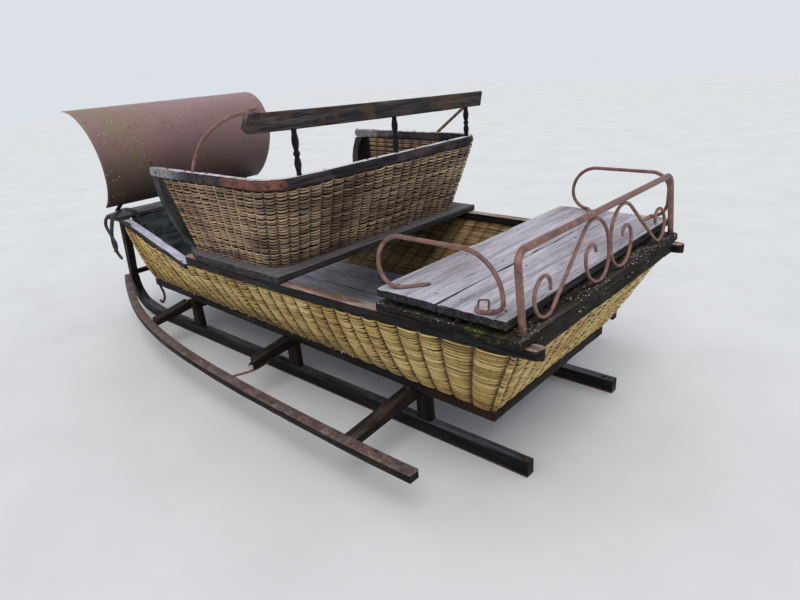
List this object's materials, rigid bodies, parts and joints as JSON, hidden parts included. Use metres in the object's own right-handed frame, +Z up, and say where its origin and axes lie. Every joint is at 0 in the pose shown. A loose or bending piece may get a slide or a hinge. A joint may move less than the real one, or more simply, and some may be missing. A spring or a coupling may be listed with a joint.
{
  "type": "horse drawn sleigh",
  "caption": "Horse drawn sleigh on bent runners: a flared wicker tub with a wicker driver's seat, a curled steel dash and a plank bench with wrought iron back and armrests.",
  "frame": {"origin": "on the ground under the middle of the sleigh", "axes": "+X forward, towards the horse, +Y to the sleigh's left, +Z up"},
  "size_m": [2.83, 1.4822, 1.1887],
  "materials": {
    "dark_timber": "weathered, wet, nearly black",
    "worn_timber": "weathered dark timber with a worn grey top",
    "black_turned_wood": "worn black paint",
    "grey_plank": "bare silver grey weathered planks",
    "painted_lining": "mottled dark blue grey paint",
    "wicker": "close woven straw coloured willow",
    "rusty_iron": "brown rust",
    "rusty_sheet": "smooth purple brown rust with lichen specks"
  },
  "bodies": {
    "root": {"runner_left": "dark_timber", "runner_right": "dark_timber", "knees": "dark_timber", "cross_beam_front": "dark_timber", "cross_beam_middle": "dark_timber", "cross_beam_rear": "dark_timber", "side_bar_left": "dark_timber", "side_bar_right": "dark_timber", "side_arms": "dark_timber", "broken_side_arm": "dark_timber", "sill_left": "dark_timber", "sill_right": "dark_timber", "sill_front": "dark_timber", "sill_rear": "dark_timber", "nose_posts": "dark_timber", "nose_crossbar": "dark_timber", "floor_bearers": "dark_timber", "seat_end_boards": "dark_timber", "tub_rail_left": "worn_timber", "tub_rail_right": "worn_timber", "tub_rail_rear": "worn_timber", "seat_rim": "worn_timber", "seat_stiles": "worn_timber", "back_rail": "worn_timber", "seat_board": "worn_timber", "bench_base": "worn_timber", "bench_battens": "worn_timber", "back_spindles": "black_turned_wood", "bench_board_rear": "grey_plank", "bench_board_front": "grey_plank", "front_rail_left": "grey_plank", "front_rail_right": "grey_plank", "nose_plank": "grey_plank", "tub_floor": "grey_plank", "front_panel": "painted_lining", "tub_side_left": "wicker", "tub_side_right": "wicker", "tub_rear": "wicker", "seat_basket": "wicker", "runner_shoes": "rusty_iron", "side_bar_straps": "rusty_iron", "broken_arm_iron": "rusty_iron", "dash_irons": "rusty_iron", "rim_corner_plates": "rusty_iron", "back_arm_rods": "rusty_iron", "bench_back_hoop": "rusty_iron", "bench_scrolls": "rusty_iron", "armrest_left": "rusty_iron", "armrest_right": "rusty_iron", "dash_sheet": "rusty_sheet"}
  },
  "joints": []
}
